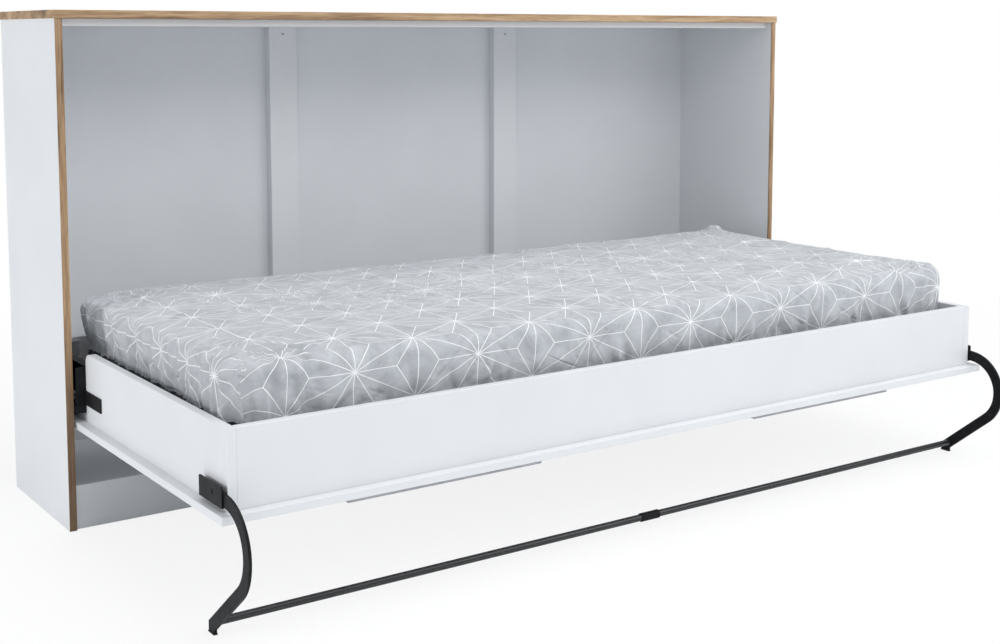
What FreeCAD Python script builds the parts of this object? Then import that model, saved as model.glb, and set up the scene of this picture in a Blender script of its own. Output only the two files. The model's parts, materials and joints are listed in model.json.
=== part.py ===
import FreeCAD, Part
import math
import os
import Sketcher

# Horizontal cabinet bed, drawn open as it is slept in. Millimetres.
# X runs along the cabinet (+X to the right), +Y points into the wall behind it, +Z is up.
# The origin lies on the floor, under the middle of the whole open piece of furniture.

DRIVING_SIZES = [
    # cabinet
    ("cabinet_width", 2130, "outside of the two side panels"),
    ("cabinet_height", 1136, "floor to the top of the oak top panel"),
    ("carcass_depth", 393, "front of the side panels to the back panel"),
    ("side_thickness", 16, "side panel board"),
    ("edge_band", 2, "oak edge band on the front of a side panel"),
    ("top_thickness", 18, "oak top panel"),
    ("top_end_overhang", 4, "top panel past each side panel"),
    ("top_front_overhang", 2, "top panel past the side panels' front"),
    ("rail_board", 16, "inner top board, bottom board and plinth boards"),
    ("inner_top_setback", 20, "inner top board behind the front of the sides"),
    ("bottom_height", 90, "floor to the top of the bottom board"),
    ("plinth_height", 98, "floor to the top of the front plinth"),
    ("plinth_setback", 8, "front plinth behind the front of the sides"),
    ("back_thickness", 3, "hardboard back panels"),
    ("back_inset", 2, "back panels inside the outline of the sides"),
    ("stile_width", 78, "upright behind the bed"),
    ("stile_depth", 25, "upright behind the bed"),
    ("stile_spacing", 704, "between the centres of the two uprights"),
    ("seam_offset", 20, "back panel seam outside an upright's centre"),
    ("wall_hole_radius", 2.5, "hole for a wall screw"),
    ("wall_hole_low", 300, "lower wall screws above the floor"),
    ("wall_hole_rise", 785, "upper wall screws above the lower ones"),
    ("board_ease", 0.8, "eased arrises of every board"),
    # bed box
    ("mattress_length", 2000, "along the cabinet"),
    ("mattress_width", 900, "across the bed"),
    ("mattress_height", 165, "with its fitted sheet"),
    ("mattress_corner", 83, "radius of a corner seen from above"),
    ("mattress_foot_round", 18, "rounded lower edge"),
    ("mattress_edge_round", 16, "rounded upper edge"),
    ("mattress_crown", 5, "rise of the middle above the upper edge"),
    ("mattress_crown_reach", 150, "rise of the crown ends this far inside the upper edge"),
    ("mattress_gap", 4, "mattress to the box on each side"),
    ("mattress_seat", 92, "front panel to the underside of the mattress"),
    ("box_board", 18, "rails and end boards of the bed box"),
    ("box_height", 151, "rails and end boards above the front panel"),
    ("front_panel_thickness", 16, "board that closes the cabinet"),
    ("front_panel_height", 226, "floor to its face when it is folded out"),
    ("front_panel_overhang", 22, "past the box at the front and at each end"),
    ("front_panel_tail", 182, "front panel behind the bed's pivot"),
    ("pivot_setback", 61.5, "bed pivot behind the front of the cabinet"),
    ("pivot_to_box_rear", 137.5, "bed pivot to the outside of the rear rail"),
    ("end_board_step", 30, "drop of an end board's top edge beside its hinge"),
    ("end_board_step_setback", 5, "step in front of the cabinet's front"),
    ("end_board_corner", 20, "radius at the step of an end board"),
    ("slat_width", 68, "across a slat"),
    ("slat_thickness", 14, "through a slat"),
    ("slat_play", 1, "slat end to rail"),
    ("batten_width", 30, "batten that carries the slats"),
    ("batten_height", 30, "batten that carries the slats"),
    ("sheet_thickness", 1, "fitted sheet"),
    ("soft_clearance", 0.3, "sheet to mattress and to the slats"),
    ("sheet_turn_under", 90, "fitted sheet under the mattress"),
    ("corner_bracket_leg", 40, "steel angle inside a corner of the box"),
    ("corner_bracket_steel", 2, "steel angle inside a corner of the box"),
    # handles
    ("handle_length", 465, "bow handle"),
    ("handle_spacing", 1065, "between the middles of the two handles"),
    ("handle_from_edge", 67, "handle's centre line to the edge of the front panel"),
    ("handle_projection", 27, "bow in front of the panel"),
    ("handle_width", 14, "width of the bow"),
    ("handle_bar", 6, "thickness of the bow"),
    ("handle_slant", 6, "run of a slanted end"),
    ("handle_screw_radius", 2, "screw through the front panel"),
    # pivots of the bed
    ("mounting_plate_steel", 4, "plate on the side panel"),
    ("mounting_plate_front", 20, "its front edge behind the cabinet's front"),
    ("mounting_plate_low", 236, "its lower edge above the floor"),
    ("mounting_plate_toe", 120, "end of its lower edge behind the cabinet's front"),
    ("mounting_plate_rear", 228, "its rear edge behind the cabinet's front"),
    ("mounting_plate_rim", 12, "plate above the spring's upper eye centre, hidden by the mattress"),
    ("mounting_lip_low", 384, "lower end of the folded lip above the floor"),
    ("mounting_lip_high", 417, "upper end of the folded lip above the floor"),
    ("mounting_lip_width", 19, "lip folded towards the bed"),
    ("lip_steel", 3, "thickness of the lip"),
    ("casing_steel", 3, "hinge casing on the end board"),
    ("casing_width", 22, "hinge casing from the end board to its outer edge"),
    ("casing_face_setback", 5, "face of the casing in front of the cabinet's front"),
    ("casing_low", 262, "lower edge of the casing above the floor"),
    ("casing_high", 366, "upper edge of the casing above the floor"),
    ("casing_face_drop", 3, "top of the casing's face under its upper edge"),
    ("casing_tail", 190, "rear end of the casing behind the cabinet's front"),
    ("strap_reach", 102, "strap in front of the cabinet's front"),
    ("strap_low", 280, "lower edge of the strap above the floor"),
    ("strap_width", 31, "height of the strap"),
    ("pin_radius", 6, "journal of the bed pivot"),
    ("pin_shoulder_radius", 13, "shoulder of the bed pivot"),
    ("pin_spigot_radius", 8, "spigot riveted into the mounting plate"),
    ("bush_radius", 8, "outside of the pivot bush"),
    ("bush_flange_radius", 11, "flange of the pivot bush"),
    ("bush_flange", 0.7, "thickness of the bush's flange"),
    ("bush_depth", 13, "bush inside the end board"),
    ("running_clearance", 0.05, "radial play of a journal"),
    ("seat_clearance", 0.3, "play between two faces that slide past each other"),
    ("screw_radius", 2.25, "countersunk screws of the hinge plates"),
    ("screw_head_radius", 4.5, "countersunk screws of the hinge plates"),
    ("screw_length", 16, "countersunk screws of the hinge plates"),
    # gas springs
    ("spring_top_back", 140, "upper eye behind the bed pivot"),
    ("spring_top_rise", 165, "upper eye above the bed pivot"),
    ("spring_foot_back", 100, "lower eye behind the bed pivot"),
    ("spring_foot_drop", 12, "lower eye under the bed pivot"),
    ("spring_radius", 9, "pressure tube"),
    ("spring_wall", 1, "pressure tube"),
    ("spring_rod_radius", 4, "piston rod"),
    ("spring_tube_length", 153, "pressure tube"),
    ("spring_piston", 10, "length of the piston"),
    ("spring_rod_inside", 145, "rod inside the pressure tube when the bed is open"),
    ("spring_eye_radius", 9, "eye"),
    ("spring_eye_thickness", 8, "eye"),
    ("spring_eye_bore", 5, "radius of the eye's bore"),
    ("spring_eye_neck", 13, "eye centre to the end of its neck"),
    # leg frame
    ("leg_pivot_forward", 700, "leg pivot in front of the cabinet"),
    ("leg_pivot_height", 270, "leg pivot above the floor"),
    ("leg_bow_forward", 751, "centre of the bow in front of the cabinet"),
    ("leg_bow_height", 179, "centre of the bow above the floor"),
    ("leg_bow_radius", 85, "middle line of the bow"),
    ("leg_bar_width", 24, "flat bar of an arm"),
    ("leg_bar_thickness", 6, "flat bar of an arm"),
    ("leg_foot_forward", 693.5, "front of a foot in front of the cabinet"),
    ("leg_foot_rise", 7, "front of a foot below the slope"),
    ("foot_pad_height", 2, "plastic pad under an arm"),
    ("foot_pad_margin", 1, "pad around the bar"),
    ("leg_tube_forward", 694, "cross tube in front of the cabinet"),
    ("leg_tube_height", 25, "cross tube above the floor"),
    ("leg_tube_radius", 7.5, "cross tube"),
    ("leg_tube_wall", 1.5, "cross tube"),
    ("leg_tube_joint", 1, "gap between the halves of the tube"),
    ("sleeve_length", 52, "sleeve over the joint of the tube"),
    ("sleeve_wall", 2, "sleeve over the joint of the tube"),
    ("bracket_steel", 2, "base of the leg bracket"),
    ("bracket_web", 2.5, "web under the arm, the stop of the open leg"),
    ("arm_inner_play", 1, "arm to the bracket's base"),
    ("arm_outer_play", 0.5, "arm to the bracket's cheek"),
    ("bracket_cheek", 2.5, "outer cheek of the leg bracket"),
    ("bracket_front", 745, "front end of the bracket in front of the cabinet"),
    ("bracket_length", 100, "along the end board"),
    ("bracket_low", 250, "lower edge above the floor"),
    ("bracket_high", 289, "upper edge of the cheek above the floor"),
    ("bracket_base_high", 281, "upper edge of the base above the floor"),
    ("bracket_base_setback", 25, "base behind the front end of the cheek"),
    ("leg_bolt_radius", 4, "shank of the leg's pivot bolt"),
    ("leg_bolt_head_radius", 5, "head of the leg's pivot bolt"),
    ("leg_bolt_head", 1, "height of the head"),
    ("leg_bolt_depth", 16, "bolt inside the end board"),
]

SLAT_COUNT = 14

doc = FreeCAD.newDocument("CabinetBed")
sheet = doc.addObject("Spreadsheet::Sheet", "Sizes")


class Size:
    """A length with its number and the spreadsheet formula that it follows."""

    def __init__(self, number, formula):
        self.number = float(number)
        self.formula = formula

    def __add__(self, other):
        other = as_size(other)
        return Size(self.number + other.number, f"({self.formula} + {other.formula})")

    def __sub__(self, other):
        other = as_size(other)
        return Size(self.number - other.number, f"({self.formula} - {other.formula})")

    def __mul__(self, factor):
        return Size(self.number * factor, f"({self.formula} * {factor})")

    def __truediv__(self, divisor):
        return Size(self.number / divisor, f"({self.formula} / {divisor})")

    def __neg__(self):
        return Size(-self.number, f"(0 - {self.formula})")


def as_size(value):
    if isinstance(value, Size):
        return value
    return Size(value, str(value))


class Sizes:
    """The driving sizes by name."""


size = Sizes()
for row, (name, millimetres, meaning) in enumerate(DRIVING_SIZES, start=1):
    sheet.set(f"A{row}", name)
    sheet.set(f"B{row}", str(millimetres))
    sheet.set(f"C{row}", meaning)
    sheet.setAlias(f"B{row}", name)
doc.recompute()
for name, _, _ in DRIVING_SIZES:
    setattr(size, name, Size(sheet.get(name), f"Sizes.{name}"))

# ---------------------------------------------------------------- places worked out once

nothing = as_size(0)
leg_reach = size.leg_bow_forward + size.leg_bow_radius + size.leg_bar_width / 2
front = (leg_reach - size.carcass_depth - size.back_thickness) / 2
back = front + size.carcass_depth
rear = back + size.back_thickness

side_outside = size.cabinet_width / 2
side_inside = side_outside - size.side_thickness
sides_top = size.cabinet_height - size.top_thickness
inner_top_low = sides_top - size.rail_board

pivot_y = front + size.pivot_setback
pivot_z = size.front_panel_height + size.pivot_setback
panel_top = size.front_panel_height + size.front_panel_thickness
rim_top = panel_top + size.box_height
box_rear = pivot_y + size.pivot_to_box_rear
box_front = box_rear - size.mattress_width - size.mattress_gap * 2 - size.box_board * 2
box_end = size.mattress_length / 2 + size.mattress_gap + size.box_board
box_end_inside = box_end - size.box_board
rail_front_inside = box_front + size.box_board
rail_rear_inside = box_rear - size.box_board
panel_edge = box_front - size.front_panel_overhang
mattress_low = panel_top + size.mattress_seat
mattress_front = rail_front_inside + size.mattress_gap
mattress_rear = rail_rear_inside - size.mattress_gap

plate_face = side_inside - size.mounting_plate_steel
casing_face = box_end + size.casing_steel
spring_x = (plate_face + casing_face) / 2
spring_top_y = pivot_y + size.spring_top_back
spring_top_z = pivot_z + size.spring_top_rise
spring_foot_y = pivot_y + size.spring_foot_back
spring_foot_z = pivot_z - size.spring_foot_drop

leg_y = front - size.leg_pivot_forward
leg_z = size.leg_pivot_height
bracket_base_x = box_end + size.bracket_steel
arm_inner_x = bracket_base_x + size.arm_inner_play
arm_outer_x = arm_inner_x + size.leg_bar_thickness
cheek_inner_x = arm_outer_x + size.arm_outer_play
cheek_outer_x = cheek_inner_x + size.bracket_cheek

# ---------------------------------------------------------------- drawing helpers

PLANES = {"X": "YZ_Plane", "Y": "XZ_Plane", "Z": "XY_Plane"}
SUBPARTS = []


def keep(item, label):
    """Names a finished sub-part; its label is its file's name."""
    item.Label = label
    SUBPARTS.append(item)
    return item


def new_body(label):
    return doc.addObject("PartDesign::Body", label.title().replace("_", ""))


def new_sketch(body, axis, position, name):
    """A sketch square to an axis, at a position along it."""
    plane = [item for item in body.Origin.OriginFeatures if item.Role == PLANES[axis]][0]
    sketch = body.newObject("Sketcher::SketchObject", name)
    sketch.AttachmentSupport = [(plane, "")]
    sketch.MapMode = "FlatFace"
    offset = -position if axis == "Y" else position
    sketch.AttachmentOffset = FreeCAD.Placement(FreeCAD.Vector(0, 0, offset.number), FreeCAD.Rotation())
    sketch.setExpression("AttachmentOffset.Base.z", offset.formula)
    return sketch


def pin_point(sketch, element, vertex, across, up):
    """Ties one point of a sketch to its two coordinates."""
    for kind, value, axis_line in (("DistanceX", across, -2), ("DistanceY", up, -1)):
        if abs(value.number) < 1e-9:
            sketch.addConstraint(Sketcher.Constraint("PointOnObject", element, vertex, axis_line))
        else:
            index = sketch.addConstraint(Sketcher.Constraint(kind, element, vertex, value.number))
            sketch.setExpression(f"Constraints[{index}]", value.formula)


def draw_polygon(sketch, corners):
    first = sketch.GeometryCount
    count = len(corners)
    points = [FreeCAD.Vector(across.number, up.number, 0) for across, up in corners]
    for index in range(count):
        sketch.addGeometry(Part.LineSegment(points[index], points[(index + 1) % count]))
    for index in range(count):
        following = first + (index + 1) % count
        sketch.addConstraint(Sketcher.Constraint("Coincident", first + index, 2, following, 1))
    for index, (across, up) in enumerate(corners):
        pin_point(sketch, first + index, 1, across, up)


def draw_circle(sketch, across, up, radius):
    centre = FreeCAD.Vector(across.number, up.number, 0)
    circle = Part.Circle(centre, FreeCAD.Vector(0, 0, 1), radius.number)
    element = sketch.addGeometry(circle)
    pin_point(sketch, element, 3, across, up)
    index = sketch.addConstraint(Sketcher.Constraint("Radius", element, radius.number))
    sketch.setExpression(f"Constraints[{index}]", radius.formula)


def rectangle(low_across, high_across, low_up, high_up):
    return [
        (low_across, low_up), (high_across, low_up),
        (high_across, high_up), (low_across, high_up),
    ]


def pad_sketch(body, axis, sketch, length):
    """Pads towards the axis's positive end."""
    pad = body.newObject("PartDesign::Pad", "Pad")
    pad.Profile = sketch
    pad.setExpression("Length", length.formula)
    pad.Reversed = axis == "Y"
    doc.recompute()
    return pad


def add_prism(body, axis, corners, start, end):
    """Pads an outline from start to end along an axis."""
    sketch = new_sketch(body, axis, start, "Outline")
    draw_polygon(sketch, corners)
    return pad_sketch(body, axis, sketch, end - start)


def add_rounds(body, feature, kind, radius, wanted):
    """Rounds or chamfers the edges that the test picks."""
    names = [f"Edge{n}" for n, edge in enumerate(feature.Shape.Edges, start=1) if wanted(edge)]
    if not names:
        raise RuntimeError(f"{body.Label}: no edge to work on")
    dressing = body.newObject(f"PartDesign::{kind}", kind)
    dressing.Base = (feature, names)
    dressing.setExpression("Radius" if kind == "Fillet" else "Size", radius.formula)
    doc.recompute()
    return dressing


def along(axis):
    """Picks straight edges that run along an axis."""
    direction = FreeCAD.Vector(axis == "X", axis == "Y", axis == "Z")

    def test(edge):
        if not isinstance(edge.Curve, Part.Line):
            return False
        return abs(abs(edge.tangentAt(edge.FirstParameter).dot(direction)) - 1) < 1e-6
    return test


def cut_holes(body, axis, places, radius, start, depth):
    """Drills towards the axis's positive end, from start; checks that material went."""
    before = body.Shape.Volume
    sketch = new_sketch(body, axis, start, "Holes")
    for across, up in places:
        draw_circle(sketch, across, up, radius)
    pocket = body.newObject("PartDesign::Pocket", "Drilling")
    pocket.Profile = sketch
    pocket.setExpression("Length", depth.formula)
    pocket.Reversed = axis != "Y"
    doc.recompute()
    expected = len(places) * math.pi * radius.number ** 2 * depth.number
    if before - body.Shape.Volume < 0.3 * expected:
        raise RuntimeError(f"{body.Label}: the drilling misses the material")
    return pocket


def board(label, x, y, z):
    """A rectangular board with eased arrises, given by its low and high sides."""
    body = new_body(label)
    pad = add_prism(body, "Z", rectangle(x[0], x[1], y[0], y[1]), z[0], z[1])
    add_rounds(body, pad, "Chamfer", size.board_ease, lambda edge: True)
    return keep(body, label)


def box(label, x, y, z):
    """A plain block as a primitive, for sheet and other thin stock."""
    block = doc.addObject("Part::Box", label.title().replace("_", ""))
    for side, (low, high) in (("Length", x), ("Width", y), ("Height", z)):
        block.setExpression(side, (high - low).formula)
    for letter, low in (("x", x[0]), ("y", y[0]), ("z", z[0])):
        block.setExpression(f"Placement.Base.{letter}", low.formula)
    return block


def rod_along_x(label, x, y, z, radius):
    """A round bar along X between two ends."""
    bar = doc.addObject("Part::Cylinder", label)
    bar.Placement = FreeCAD.Placement(
        FreeCAD.Vector(x[0].number, y.number, z.number),
        FreeCAD.Rotation(FreeCAD.Vector(0, 1, 0), 90),
    )
    bar.setExpression("Radius", radius.formula)
    bar.setExpression("Height", (x[1] - x[0]).formula)
    bar.setExpression("Placement.Base.x", x[0].formula)
    bar.setExpression("Placement.Base.y", y.formula)
    bar.setExpression("Placement.Base.z", z.formula)
    return bar


def fuse(label, pieces):
    joined = doc.addObject("Part::MultiFuse", label)
    joined.Shapes = pieces
    joined.Refine = True
    return joined


def cut(label, base, tool):
    remainder = doc.addObject("Part::Cut", label)
    remainder.Base = base
    remainder.Tool = tool
    return remainder


def gather(label, pieces):
    """Separate solids that share one node."""
    group = doc.addObject("Part::Compound", label.title().replace("_", ""))
    group.Links = pieces
    return keep(group, label)


def mirror_to_right(source, label):
    twin = doc.addObject("Part::Mirroring", label.title().replace("_", ""))
    twin.Source = source
    twin.Normal = FreeCAD.Vector(1, 0, 0)
    twin.Base = FreeCAD.Vector(0, 0, 0)
    return keep(twin, label)


def both_sides(source, name):
    """Keeps a left-hand piece and makes its right-hand twin."""
    keep(source, f"{name}_left")
    mirror_to_right(source, f"{name}_right")


# ---------------------------------------------------------------- cabinet


def make_cabinet():
    panel = new_body("side_panel_left")
    outline = rectangle(front + size.edge_band, back, nothing, sides_top)
    add_prism(panel, "X", outline, -side_outside, -side_inside)
    plate_screws = [(y, z) for y, z in mounting_screw_places()]
    bury = size.screw_length - size.mounting_plate_steel
    cut_holes(panel, "X", plate_screws, size.screw_radius, -side_inside - bury, bury)
    both_sides(panel, "side_panel")

    band = box("side_edge_left", (-side_outside, -side_inside), (front, front + size.edge_band),
               (nothing, sides_top))
    both_sides(band, "side_edge")

    top_end = side_outside + size.top_end_overhang
    board("top_panel", (-top_end, top_end), (front - size.top_front_overhang, rear),
          (sides_top, size.cabinet_height))
    board("inner_top_board", (-side_inside, side_inside), (front + size.inner_top_setback, back),
          (inner_top_low, sides_top))
    plinth_back = front + size.plinth_setback + size.rail_board
    board("plinth_front", (-side_inside, side_inside), (front + size.plinth_setback, plinth_back),
          (nothing, size.plinth_height))
    bottom_low = size.bottom_height - size.rail_board
    board("bottom_board", (-side_inside, side_inside), (plinth_back, back),
          (bottom_low, size.bottom_height))
    board("plinth_rear", (-side_inside, side_inside), (back - size.rail_board, back),
          (nothing, bottom_low))


def make_back():
    """Three hardboard panels, with an upright behind the bed at each seam."""
    stile_x = size.stile_spacing / 2
    seam = stile_x + size.seam_offset
    outer = side_outside - size.back_inset
    high = sides_top - size.back_inset
    holes_z = (size.wall_hole_low, size.wall_hole_low + size.wall_hole_rise)
    for name, x in (("left", (-outer, -seam)), ("centre", (-seam, seam)), ("right", (seam, outer))):
        body = new_body(f"back_panel_{name}")
        add_prism(body, "Y", rectangle(x[0], x[1], size.back_inset, high), back, rear)
        if name == "centre":
            places = [(x_hole, z) for x_hole in (-stile_x, stile_x) for z in holes_z]
            cut_holes(body, "Y", places, size.wall_hole_radius, back, size.back_thickness)
        keep(body, f"back_panel_{name}")
    for name, middle in (("left", -stile_x), ("right", stile_x)):
        body = new_body(f"back_stile_{name}")
        half = size.stile_width / 2
        outline = rectangle(middle - half, middle + half, back - size.stile_depth, back)
        pad = add_prism(body, "Z", outline, size.bottom_height, inner_top_low)
        add_rounds(body, pad, "Chamfer", size.board_ease, along("Z"))
        places = [(middle, z) for z in holes_z]
        cut_holes(body, "Y", places, size.wall_hole_radius, back - size.stile_depth, size.stile_depth)
        keep(body, f"back_stile_{name}")


def mounting_screw_places():
    """Screws of a mounting plate, set in from the corners of its outline."""
    inset = as_size(14)
    low = size.mounting_plate_low + inset
    first = front + size.mounting_plate_front + inset
    last = front + size.mounting_plate_rear - inset
    return [
        (first, low),
        (front + size.mounting_plate_toe - inset, low),
        (first, size.mounting_lip_high - inset),
        ((first + last) / 2, size.mounting_lip_high),
        (last, spring_top_z - inset * 2),
    ]


def countersunk_screw(x, y, z, clearance, towards):
    """A screw with its head flush at x, pointing along X towards -1 or +1."""
    radius = size.screw_radius.number + clearance
    head = size.screw_head_radius.number + clearance
    axis = FreeCAD.Vector(towards, 0, 0)
    start = FreeCAD.Vector(x, y, z)
    cone = Part.makeCone(head, radius, head - radius, start, axis)
    shank = Part.makeCylinder(radius, size.screw_length.number + clearance, start, axis)
    return cone.fuse(shank).removeSplitter()


def screw_set(face, places, clearance, towards):
    """The screws of the left-hand plate, or the holes that they pass through."""
    return [countersunk_screw(face.number, y.number, z.number, clearance, towards) for y, z in places]


def make_screws(label, face, places, towards):
    left = screw_set(face, places, 0, towards)
    right = [shape.mirror(FreeCAD.Vector(0, 0, 0), FreeCAD.Vector(1, 0, 0)) for shape in left]
    screws = doc.addObject("Part::Feature", label.title().replace("_", ""))
    screws.Shape = Part.makeCompound(left + right)
    screws.Placement = FreeCAD.Placement()
    keep(screws, label)


def make_screw_tool(label, face, places, towards):
    tool = doc.addObject("Part::Feature", label)
    shapes = screw_set(face, places, size.running_clearance.number, towards)
    tool.Shape = Part.makeCompound(shapes)
    tool.Placement = FreeCAD.Placement()
    return tool


def make_mounting_plates():
    """Steel plate on a side panel: carries the bed's pivot pin and a gas spring's upper eye."""
    plate = new_body("mounting_plate_blank")
    plate_front = front + size.mounting_plate_front
    plate_rear = front + size.mounting_plate_rear
    eye_margin = size.spring_eye_radius * 3
    plate_top = spring_top_z + size.mounting_plate_rim
    outline = [
        (plate_front, size.mounting_plate_low),
        (front + size.mounting_plate_toe, size.mounting_plate_low),
        (plate_rear, spring_top_z - eye_margin * 2),
        (plate_rear, plate_top),
        (spring_top_y - eye_margin, plate_top),
        (plate_front, size.mounting_lip_high),
    ]
    add_prism(plate, "X", outline, -side_inside, -plate_face)
    lip = rectangle(plate_front, plate_front + size.lip_steel, size.mounting_lip_low, size.mounting_lip_high)
    add_prism(plate, "X", lip, -side_inside, -plate_face + size.mounting_lip_width)
    cut_holes(plate, "X", [(pivot_y, pivot_z)], size.pin_spigot_radius, -side_inside,
              size.mounting_plate_steel)
    places = mounting_screw_places()
    tool = make_screw_tool("MountingScrewHoles", -plate_face, places, -1)
    both_sides(cut("MountingPlateLeft", plate, tool), "mounting_plate")
    make_screws("mounting_plate_screws", -plate_face, places, -1)


def turned_piece(label, steps, y, z):
    """A turned piece on an axis along X. Steps are (x low, x high, radius)."""
    bars = [rod_along_x(f"{label}Step", (low, high), y, z, radius) for low, high, radius in steps]
    return fuse(label, bars)


def make_pivots():
    """Riveted shoulder pins on the cabinet, and the flanged bushes in the bed that turn on them."""
    shoulder_end = casing_face + size.bush_flange + size.seat_clearance
    journal_end = box_end - size.bush_depth - as_size(1)
    pin = turned_piece("PivotPinLeft", [
        (-side_inside, -plate_face, size.pin_spigot_radius),
        (-plate_face, -shoulder_end, size.pin_shoulder_radius),
        (-shoulder_end, -journal_end, size.pin_radius),
    ], pivot_y, pivot_z)
    both_sides(pin, "pivot_pin")

    bush_end = box_end - size.bush_depth
    flange_end = casing_face + size.bush_flange
    blank = turned_piece("BushBlank", [
        (-flange_end, -casing_face, size.bush_flange_radius),
        (-casing_face, -bush_end, size.bush_radius),
    ], pivot_y, pivot_z)
    bore = rod_along_x("BushBore", (-flange_end - 1, -bush_end + 1), pivot_y, pivot_z,
                       size.pin_radius + size.running_clearance)
    both_sides(cut("PivotBushLeft", blank, bore), "pivot_bush")


# ---------------------------------------------------------------- bed box


def casing_screw_places():
    inset = as_size(12)
    low = size.casing_low + inset
    high = size.casing_high - inset * 1.5
    first = front + inset * 2
    return [(first, low), (first, high), (pivot_y + inset * 4, low), (pivot_y + inset * 4, high)]


def make_bed_box():
    panel = new_body("front_panel")
    panel_end = box_end + size.front_panel_overhang
    outline = rectangle(-panel_end, panel_end, panel_edge, pivot_y + size.front_panel_tail)
    pad = add_prism(panel, "Z", outline, size.front_panel_height, panel_top)
    add_rounds(panel, pad, "Chamfer", size.board_ease, lambda edge: True)
    cut_holes(panel, "Z", handle_screw_places(), size.handle_screw_radius + size.running_clearance,
              size.front_panel_height, size.front_panel_thickness)
    keep(panel, "front_panel")

    rail_x = (-box_end_inside, box_end_inside)
    board("front_rail", rail_x, (box_front, rail_front_inside), (panel_top, rim_top))
    board("rear_rail", rail_x, (rail_rear_inside, box_rear), (panel_top, rim_top))

    end = new_body("end_board_left")
    step = front - size.end_board_step_setback
    outline = [
        (box_front, panel_top),
        (box_rear, panel_top),
        (box_rear, rim_top - size.end_board_step),
        (step, rim_top - size.end_board_step),
        (step, rim_top),
        (box_front, rim_top),
    ]
    pad = add_prism(end, "X", outline, -box_end, -box_end_inside)

    def at_step_top(edge):
        middle = edge.CenterOfMass
        return abs(middle.y - step.number) < 0.01 and abs(middle.z - rim_top.number) < 0.01

    rounded = add_rounds(end, pad, "Fillet", size.end_board_corner, at_step_top)
    reach = size.board_ease.number * 2

    def on_rim(edge):
        middle = edge.CenterOfMass
        return along("Y")(edge) and abs(middle.z - rim_top.number) < reach

    add_rounds(end, rounded, "Chamfer", size.board_ease, on_rim)
    bush_hole = size.bush_radius + size.running_clearance
    cut_holes(end, "X", [(pivot_y, pivot_z)], bush_hole, -box_end, size.bush_depth + 2)
    bolt_hole = size.leg_bolt_radius + size.running_clearance
    cut_holes(end, "X", [(leg_y, leg_z)], bolt_hole, -box_end, size.leg_bolt_depth + 1)
    bury = size.screw_length - size.casing_steel + 1
    cut_holes(end, "X", casing_screw_places(), size.screw_radius + size.running_clearance, -box_end, bury)
    both_sides(end, "end_board")


def make_slats():
    batten_high = mattress_low - size.slat_thickness
    batten_z = (batten_high - size.batten_height, batten_high)
    batten_x = (-box_end_inside, box_end_inside)
    board("slat_batten_front", batten_x, (rail_front_inside, rail_front_inside + size.batten_width), batten_z)
    board("slat_batten_rear", batten_x, (rail_rear_inside - size.batten_width, rail_rear_inside), batten_z)
    slat_y = (rail_front_inside + size.slat_play, rail_rear_inside - size.slat_play)
    pitch = size.mattress_length / SLAT_COUNT
    slats = []
    for number in range(SLAT_COUNT):
        middle = pitch * (number + 0.5) - size.mattress_length / 2
        slat_x = (middle - size.slat_width / 2, middle + size.slat_width / 2)
        slats.append(box(f"Slat{number + 1}", slat_x, slat_y, (batten_high, mattress_low)))
    gather("slats", slats)


def make_corner_brackets():
    """Four steel angles that tie the rails to the end boards, on the front panel."""
    leg = size.corner_bracket_leg
    steel = size.corner_bracket_steel
    low = panel_top
    high = mattress_low - size.slat_thickness - size.batten_height
    angles = []
    for name, wall_y, inward in (("Front", rail_front_inside, 1), ("Rear", rail_rear_inside, -1)):
        along_rail = sorted_pair(wall_y, wall_y + steel * inward)
        along_end = sorted_pair(wall_y, wall_y + leg * inward)
        on_rail = box(f"Rail{name}", (-box_end_inside, -box_end_inside + leg), along_rail, (low, high))
        on_end = box(f"End{name}", (-box_end_inside, -box_end_inside + steel), along_end, (low, high))
        angle = fuse(f"Angle{name}", [on_rail, on_end])
        twin = doc.addObject("Part::Mirroring", f"Angle{name}Right")
        twin.Source = angle
        twin.Normal = FreeCAD.Vector(1, 0, 0)
        angles += [angle, twin]
    gather("corner_brackets", angles)


def sorted_pair(one, other):
    return (one, other) if one.number < other.number else (other, one)


def mattress_rings():
    """Height, inset and corner radius of the mattress's outline, from its foot to its crown."""
    height = size.mattress_height.number
    corner = size.mattress_corner.number
    foot = size.mattress_foot_round.number
    edge = size.mattress_edge_round.number
    crown = size.mattress_crown.number
    shoulder = height - crown - edge
    rings = []
    for degrees in (0, 30, 60, 90):
        turn = math.radians(degrees)
        rings.append((foot * (1 - math.cos(turn)), foot * (1 - math.sin(turn)), corner))
    for degrees in (0, 22.5, 45, 67.5, 90):
        turn = math.radians(degrees)
        rings.append((shoulder + edge * math.sin(turn), edge * (1 - math.cos(turn)), corner))
    for share in (0.25, 0.5, 0.75, 1):
        drawn_in = size.mattress_crown_reach.number * share
        rings.append((height - crown * (1 - share) ** 2, edge + drawn_in, corner + drawn_in / 4))
    return rings


def rounded_outline(half_x, low_y, high_y, z, radius):
    """A rectangle with round corners, as lines and quarter arcs."""
    corners = [(half_x, low_y), (half_x, high_y), (-half_x, high_y), (-half_x, low_y)]
    edges = []
    ends = []
    for across, up in corners:
        centre_x = across - math.copysign(radius, across)
        centre_y = up + (radius if up == low_y else -radius)
        middle = math.atan2(up - centre_y, across - centre_x)
        points = []
        for turn in (-math.pi / 4, 0, math.pi / 4):
            angle = middle + turn
            points.append(FreeCAD.Vector(centre_x + radius * math.cos(angle),
                                         centre_y + radius * math.sin(angle), z))
        ends.append(points)
    for index, points in enumerate(ends):
        edges.append(Part.Arc(*points).toShape())
        edges.append(Part.LineSegment(points[2], ends[(index + 1) % 4][0]).toShape())
    return Part.Wire(edges)


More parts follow.
